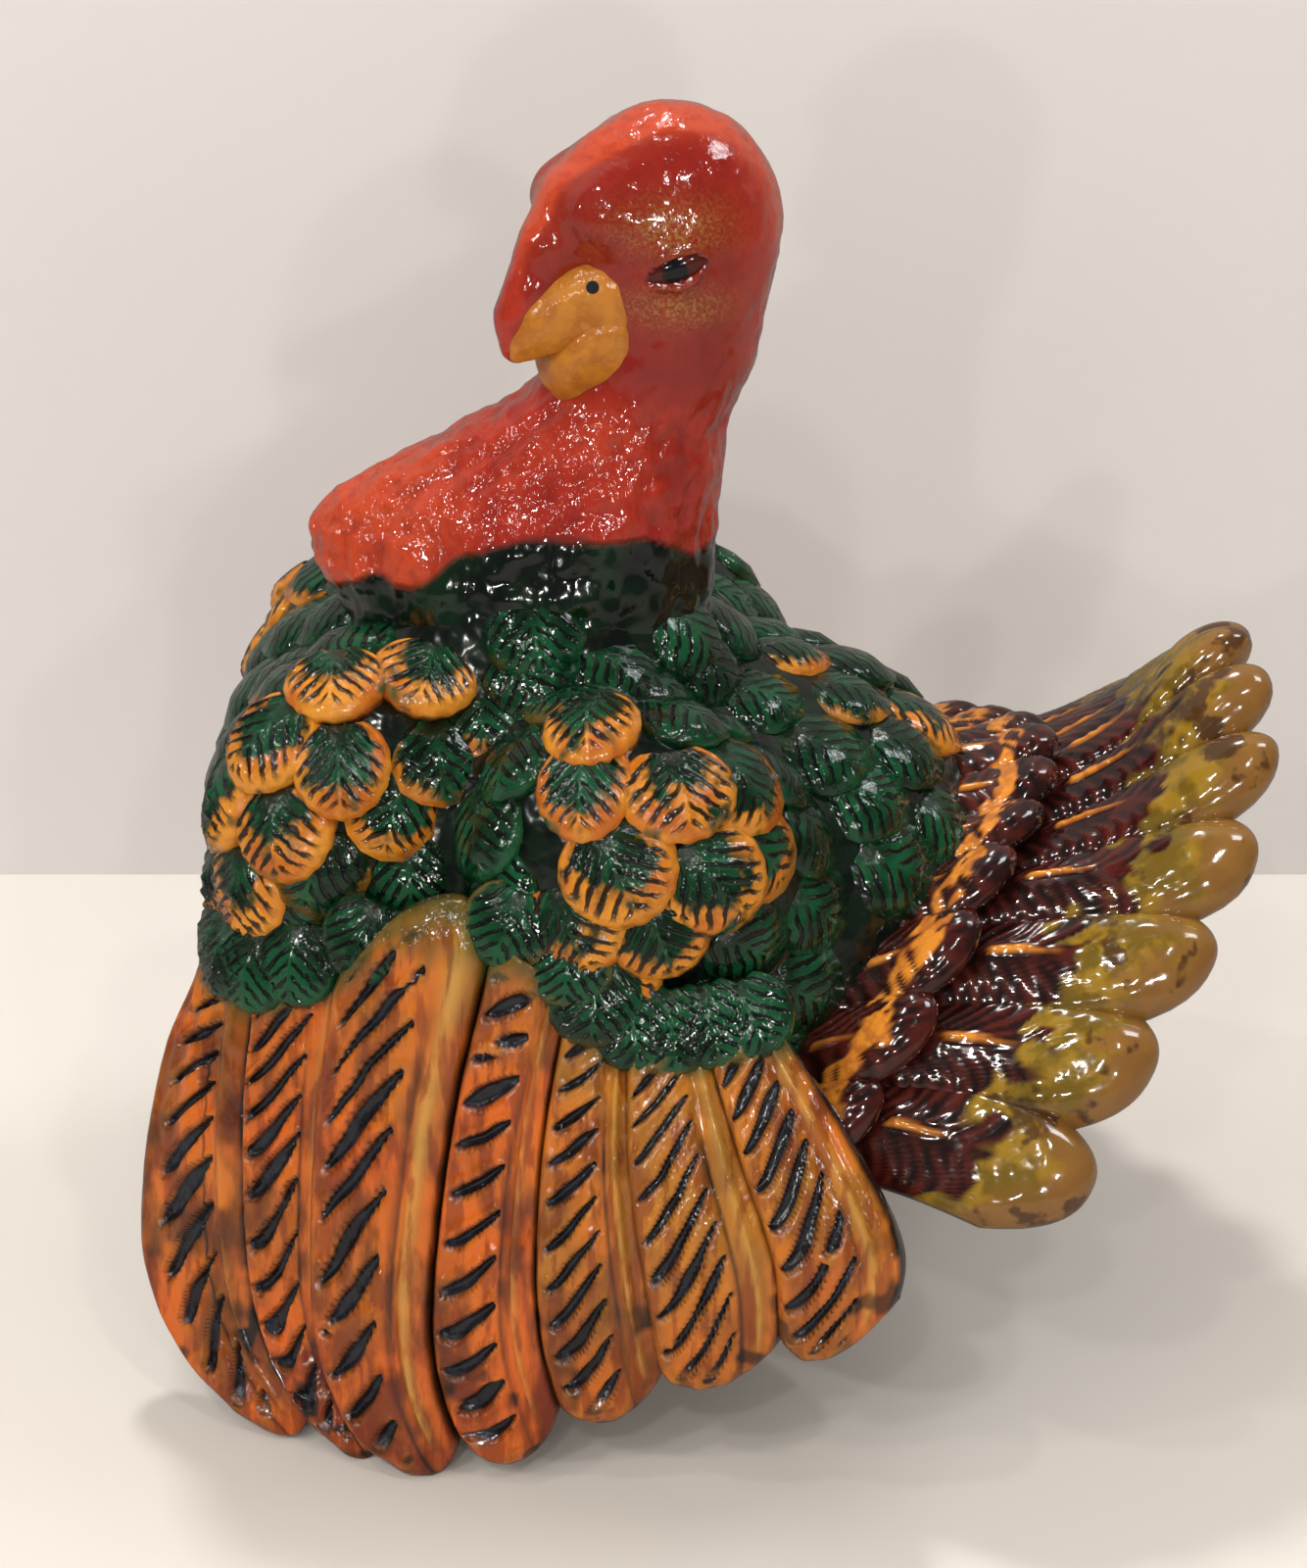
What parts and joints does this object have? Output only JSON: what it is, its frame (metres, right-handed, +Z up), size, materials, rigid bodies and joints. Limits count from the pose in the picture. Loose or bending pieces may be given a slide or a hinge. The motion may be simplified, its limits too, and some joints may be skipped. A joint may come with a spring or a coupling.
{
  "type": "thanksgiving turkey figure",
  "caption": "Standing glazed ceramic tom turkey with drooped wings, a draped neck and a raised fan tail; a tabletop holiday ornament on a flat foot.",
  "frame": {"origin": "under the middle of the figure's bounding box, on the plane that it stands on", "axes": "+Z up, the bird faces -Y, its left side is +X"},
  "size_m": [0.1912, 0.245, 0.2699],
  "materials": {
    "green_glaze": "gloss glaze, deep emerald that pools to near black in the grooves",
    "neck_glaze": "gloss glaze, red to orange, with a green collar at its foot",
    "head_glaze": "gloss glaze, orange red, darker on the cheeks, olive specks round the eyes",
    "beak_glaze": "gloss glaze, ochre, with a black nostril dot on each side",
    "eye_glaze": "gloss glaze, near black on dark brown",
    "scale_glaze": "gloss glaze, amber dabbed over green",
    "wing_glaze": "gloss glaze, rust to amber, cream quills, black in the carved barbs",
    "covert_glaze": "gloss glaze, dark maroon with a dabbed orange edge",
    "tail_glaze": "gloss glaze, dark maroon that turns olive and tan at the tips"
  },
  "bodies": {
    "root": {"body_shell": "green_glaze", "neck_drape": "neck_glaze", "head": "head_glaze", "upper_beak": "beak_glaze", "lower_beak": "beak_glaze", "snood": "head_glaze", "eye_left": "eye_glaze", "eye_right": "eye_glaze", "breast_scales_left": "scale_glaze", "breast_scales_right": "scale_glaze", "shoulder_scales_left": "scale_glaze", "shoulder_scales_right": "scale_glaze", "hem_scales_left": "green_glaze", "hem_scales_right": "green_glaze", "wing_feather_a_left": "wing_glaze", "wing_feather_a_right": "wing_glaze", "wing_feather_b_left": "wing_glaze", "wing_feather_b_right": "wing_glaze", "wing_feather_c_left": "wing_glaze", "wing_feather_c_right": "wing_glaze", "wing_feather_d_left": "wing_glaze", "wing_feather_d_right": "wing_glaze", "wing_feather_e_left": "wing_glaze", "wing_feather_e_right": "wing_glaze", "wing_feather_f_left": "wing_glaze", "wing_feather_f_right": "wing_glaze", "wing_feather_g_left": "wing_glaze", "wing_feather_g_right": "wing_glaze", "tail_covert_01": "covert_glaze", "tail_covert_02": "covert_glaze", "tail_covert_03": "covert_glaze", "tail_covert_04": "covert_glaze", "tail_covert_05": "covert_glaze", "tail_covert_06": "covert_glaze", "tail_covert_07": "covert_glaze", "tail_covert_08": "covert_glaze", "tail_covert_09": "covert_glaze", "tail_covert_10": "covert_glaze", "tail_covert_11": "covert_glaze", "tail_covert_12": "covert_glaze", "tail_covert_13": "covert_glaze", "tail_feather_01": "tail_glaze", "tail_feather_02": "tail_glaze", "tail_feather_03": "tail_glaze", "tail_feather_04": "tail_glaze", "tail_feather_05": "tail_glaze", "tail_feather_06": "tail_glaze", "tail_feather_07": "tail_glaze", "tail_feather_08": "tail_glaze", "tail_feather_09": "tail_glaze", "tail_feather_10": "tail_glaze", "tail_feather_11": "tail_glaze", "tail_feather_12": "tail_glaze", "tail_feather_13": "tail_glaze"}
  },
  "joints": []
}
